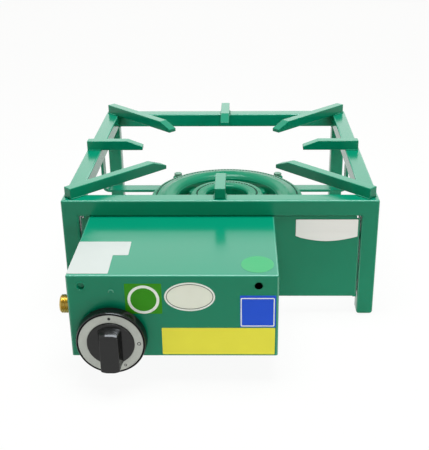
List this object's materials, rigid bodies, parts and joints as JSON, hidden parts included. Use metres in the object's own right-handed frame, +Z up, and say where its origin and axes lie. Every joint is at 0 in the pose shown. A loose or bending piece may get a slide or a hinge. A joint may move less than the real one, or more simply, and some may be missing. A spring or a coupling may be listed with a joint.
{
  "type": "countertop gas wok burner",
  "caption": "Low square gas wok burner: tube frame with wok supports, drilled double-ring cast burner, front box with a push-and-turn knob and a side gas inlet.",
  "frame": {"origin": "on the floor, under the middle of the whole object's bounding box", "axes": "+Z up, -Y towards the user in front of the knob, +X to the user's right; the control box and its knob lie at -Y, the gas inlet at -X"},
  "size_m": [0.375, 0.5472, 0.1667],
  "materials": {
    "green_paint": "satin green powder coat on mild steel",
    "painted_casting": "green heat-resistant paint on cast iron",
    "black_plastic": "black moulded plastic with a light gloss",
    "dial_silver": "satin silver",
    "brass": "machined brass",
    "copper": "drawn copper tube",
    "zinc_steel": "zinc-plated steel"
  },
  "bodies": {
    "frame": {"front_rail": "green_paint", "rear_rail": "green_paint", "left_rail": "green_paint", "right_rail": "green_paint", "leg_front_left": "green_paint", "leg_front_right": "green_paint", "leg_rear_left": "green_paint", "leg_rear_right": "green_paint", "support_front": "green_paint", "support_front_right": "green_paint", "support_right": "green_paint", "support_rear_right": "green_paint", "support_rear": "green_paint", "support_rear_left": "green_paint", "support_left": "green_paint", "support_front_left": "green_paint", "front_strap": "green_paint", "rear_strap": "green_paint", "front_panel": "green_paint", "control_box": "green_paint", "bottom_cover": "zinc_steel", "hole_plug": "green_paint", "burner_body": "painted_casting", "outer_crown": "painted_casting", "inner_crown": "painted_casting", "mixing_tube": "painted_casting", "burner_bolt_front_left": "zinc_steel", "burner_bolt_front_right": "zinc_steel", "burner_bolt_rear_left": "zinc_steel", "burner_bolt_rear_right": "zinc_steel", "burner_nut_front_left": "zinc_steel", "burner_nut_front_right": "zinc_steel", "burner_nut_rear_left": "zinc_steel", "burner_nut_rear_right": "zinc_steel", "injector": "brass", "injector_nut": "brass", "supply_pipe": "copper", "outlet_nut": "brass", "tap_bonnet": "brass", "tap_body": "brass", "inlet_nipple": "brass", "inlet_locknut": "brass", "manifold_pipe": "zinc_steel", "manifold_clamp": "zinc_steel", "magnet_unit": "brass", "thermocouple": "zinc_steel", "thermocouple_lead": "copper", "probe_bracket": "zinc_steel"},
    "tap_plug": {"tap_plug": "brass", "stem_spring": "zinc_steel"},
    "knob": {"knob": "black_plastic", "dial_ring": "dial_silver", "tap_stem": "brass"},
    "air_shutter": {"air_shutter": "zinc_steel", "shutter_screw": "brass"}
  },
  "joints": [
    {"name": "tap_turn", "type": "hinge", "parent": "frame", "child": "tap_plug", "pos_m": [-0.1112, -0.2459, 0.0572], "axis": [0, -1, 0], "range_deg": [0, 152]},
    {"name": "knob_push", "type": "slide", "parent": "tap_plug", "child": "knob", "axis": [0, 1, 0], "range_m": [0, 0.003], "stiffness_N_per_m": 3000, "springref_m": -0.003, "deforming": ["stem_spring"]},
    {"name": "shutter_turn", "type": "hinge", "parent": "frame", "child": "air_shutter", "pos_m": [0.0045, -0.0739, 0.0415], "axis": [0, 1, 0], "range_deg": [0, 45]}
  ]
}
